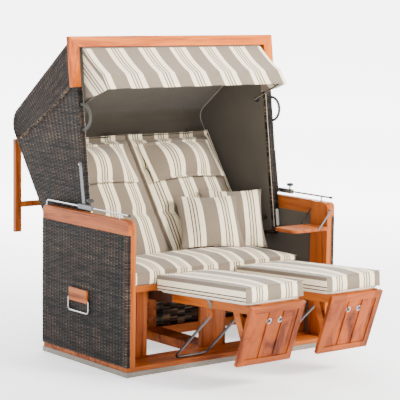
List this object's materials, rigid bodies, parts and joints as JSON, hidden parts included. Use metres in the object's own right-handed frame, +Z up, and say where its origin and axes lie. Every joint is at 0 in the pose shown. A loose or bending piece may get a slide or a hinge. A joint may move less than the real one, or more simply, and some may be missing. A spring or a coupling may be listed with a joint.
{
  "type": "hooded beach chair",
  "caption": "Hooded beach chair with a reclining woven hood, striped awning and cushions, wooden trim, arm rods with clamps and pull-out footrests",
  "frame": {"origin": "on the floor under the middle of the base", "axes": "-Y out of the open front, +X to the right as seen from the front, +Z up"},
  "size_m": [1.3886, 1.7769, 1.6597],
  "materials": {
    "wicker": "woven strands",
    "oiled_wood": "oiled",
    "brushed_steel": "brushed",
    "grey_lining": "matt woven",
    "striped_fabric": "matt woven stripes",
    "black_plastic": "moulded"
  },
  "bodies": {
    "base": {"plinth": "oiled_wood", "edge_strip": "brushed_steel", "side_panel_left": "wicker", "side_panel_right": "wicker", "side_lining_left": "grey_lining", "side_lining_right": "grey_lining", "arm_rail_left": "oiled_wood", "arm_rail_right": "oiled_wood", "front_post_left": "oiled_wood", "front_post_right": "oiled_wood", "rear_panel": "wicker", "front_wall": "oiled_wood", "seat_board": "oiled_wood", "seat_frame": "oiled_wood", "pivot_bolt_left": "brushed_steel", "pivot_bolt_right": "brushed_steel", "slide_rod_left": "brushed_steel", "slide_rod_right": "brushed_steel", "carry_block_left": "oiled_wood", "carry_block_right": "oiled_wood", "runner_left": "brushed_steel", "runner_right": "brushed_steel", "seat_cushion": "striped_fabric", "throw_pillow_front": "striped_fabric", "throw_pillow_rear": "striped_fabric"},
    "hood_body": {"hood": "wicker", "hood_lining": "grey_lining", "header_frame": "oiled_wood", "awning": "striped_fabric", "grip_left": "wicker", "grip_right": "wicker", "bow_bracket_left": "brushed_steel", "bow_bracket_right": "brushed_steel", "back_cushion_left": "striped_fabric", "back_cushion_right": "striped_fabric", "neck_pillow_left": "striped_fabric", "neck_pillow_right": "striped_fabric", "support_hinge_left": "brushed_steel", "support_hinge_right": "brushed_steel"},
    "bow_body": {"awning_bow": "brushed_steel"},
    "support_body": {"support_frame": "oiled_wood"},
    "table_body": {"side_table": "oiled_wood"},
    "stay_front_body": {"table_stay_front": "brushed_steel"},
    "stay_rear_body": {"table_stay_rear": "brushed_steel"},
    "clamp_body_left": {"clamp_left": "brushed_steel"},
    "knob_body_left": {"knob_left": "black_plastic"},
    "strap_body_left": {"strap_left": "brushed_steel"},
    "footrest_body_left": {"tray_left": "oiled_wood", "flap_left": "oiled_wood", "footrest_cushion_left": "striped_fabric"},
    "leg_body_left": {"leg_left": "brushed_steel"},
    "bail_body_left": {"carry_bail_left": "brushed_steel"},
    "clamp_body_right": {"clamp_right": "brushed_steel"},
    "knob_body_right": {"knob_right": "black_plastic"},
    "strap_body_right": {"strap_right": "brushed_steel"},
    "footrest_body_right": {"tray_right": "oiled_wood", "flap_right": "oiled_wood", "footrest_cushion_right": "striped_fabric"},
    "leg_body_right": {"leg_right": "brushed_steel"},
    "bail_body_right": {"carry_bail_right": "brushed_steel"}
  },
  "joints": [
    {"name": "hood_recline", "type": "hinge", "parent": "base", "child": "hood_body", "pos_m": [0, 0.1, 0.65], "axis": [-1, 0, 0], "range_deg": [0, 45]},
    {"name": "bow_fold", "type": "hinge", "parent": "hood_body", "child": "bow_body", "pos_m": [0, 0.187, 1.3], "axis": [-1, 0, 0], "range_deg": [0, 60], "deforming": ["awning"]},
    {"name": "support_swing", "type": "hinge", "parent": "hood_body", "child": "support_body", "pos_m": [0, 0.735, 1.075], "axis": [1, 0, 0], "range_deg": [-8, 47]},
    {"name": "clamp_travel_left", "type": "slide", "parent": "base", "child": "clamp_body_left", "axis": [0, 1, 0], "range_m": [0, 0.117]},
    {"name": "strap_turn_left", "type": "hinge", "parent": "clamp_body_left", "child": "strap_body_left", "pos_m": [-0.646, 0.05, 0.802], "axis": [-1, 0, 0], "range_deg": [0, 48.5]},
    {"name": "knob_turn_left", "type": "hinge", "parent": "clamp_body_left", "child": "knob_body_left", "pos_m": [-0.664, -0.035, 0.82], "axis": [0, 0, 1], "range_deg": [-180, 180]},
    {"name": "footrest_slide_left", "type": "slide", "parent": "base", "child": "footrest_body_left", "axis": [0, 0.9982, -0.0593], "range_m": [0, 0.6], "deforming": ["footrest_cushion_left"]},
    {"name": "leg_fold_left", "type": "hinge", "parent": "footrest_body_left", "child": "leg_body_left", "pos_m": [-0.256, -0.645, 0.32995], "axis": [1, 0, 0], "range_deg": [0, 16.5]},
    {"name": "bail_swing_left", "type": "hinge", "parent": "base", "child": "bail_body_left", "pos_m": [-0.6873, 0.037, 0.332], "axis": [0, 1, 0], "range_deg": [0, 100]},
    {"name": "clamp_travel_right", "type": "slide", "parent": "base", "child": "clamp_body_right", "axis": [0, 1, 0], "range_m": [0, 0.117]},
    {"name": "strap_turn_right", "type": "hinge", "parent": "clamp_body_right", "child": "strap_body_right", "pos_m": [0.646, 0.05, 0.802], "axis": [-1, 0, 0], "range_deg": [0, 48.5]},
    {"name": "knob_turn_right", "type": "hinge", "parent": "clamp_body_right", "child": "knob_body_right", "pos_m": [0.664, -0.035, 0.82], "axis": [0, 0, 1], "range_deg": [-180, 180]},
    {"name": "footrest_slide_right", "type": "slide", "parent": "base", "child": "footrest_body_right", "axis": [0, 0.9982, -0.0593], "range_m": [0, 0.6], "deforming": ["footrest_cushion_right"]},
    {"name": "leg_fold_right", "type": "hinge", "parent": "footrest_body_right", "child": "leg_body_right", "pos_m": [0.256, -0.645, 0.32995], "axis": [1, 0, 0], "range_deg": [0, 16.5]},
    {"name": "bail_swing_right", "type": "hinge", "parent": "base", "child": "bail_body_right", "pos_m": [0.6873, 0.037, 0.332], "axis": [0, -1, 0], "range_deg": [0, 100]},
    {"name": "table_fold", "type": "hinge", "parent": "base", "child": "table_body", "pos_m": [0.6291, -0.25, 0.635], "axis": [0, -1, 0], "range_deg": [0, 30]},
    {"name": "stay_turn_front", "type": "hinge", "parent": "base", "child": "stay_front_body", "pos_m": [0.6374, -0.4, 0.741], "axis": [0, -1, 0], "range_deg": [0, 11.5]},
    {"name": "stay_turn_rear", "type": "hinge", "parent": "base", "child": "stay_rear_body", "pos_m": [0.6374, -0.248, 0.741], "axis": [0, -1, 0], "range_deg": [0, 11.5]}
  ],
  "couplings": [
    {"joint": "clamp_travel_left", "follows": "hood_recline", "m_per_rad": 0.1476},
    {"joint": "strap_turn_left", "follows": "hood_recline", "ratio": 1.065},
    {"joint": "leg_fold_left", "follows": "footrest_slide_left", "rad_per_m": 0.4654},
    {"joint": "clamp_travel_right", "follows": "hood_recline", "m_per_rad": 0.1476},
    {"joint": "strap_turn_right", "follows": "hood_recline", "ratio": 1.065},
    {"joint": "leg_fold_right", "follows": "footrest_slide_right", "rad_per_m": 0.4654},
    {"joint": "stay_turn_front", "follows": "table_fold", "ratio": 0.37},
    {"joint": "stay_turn_rear", "follows": "table_fold", "ratio": 0.37}
  ]
}
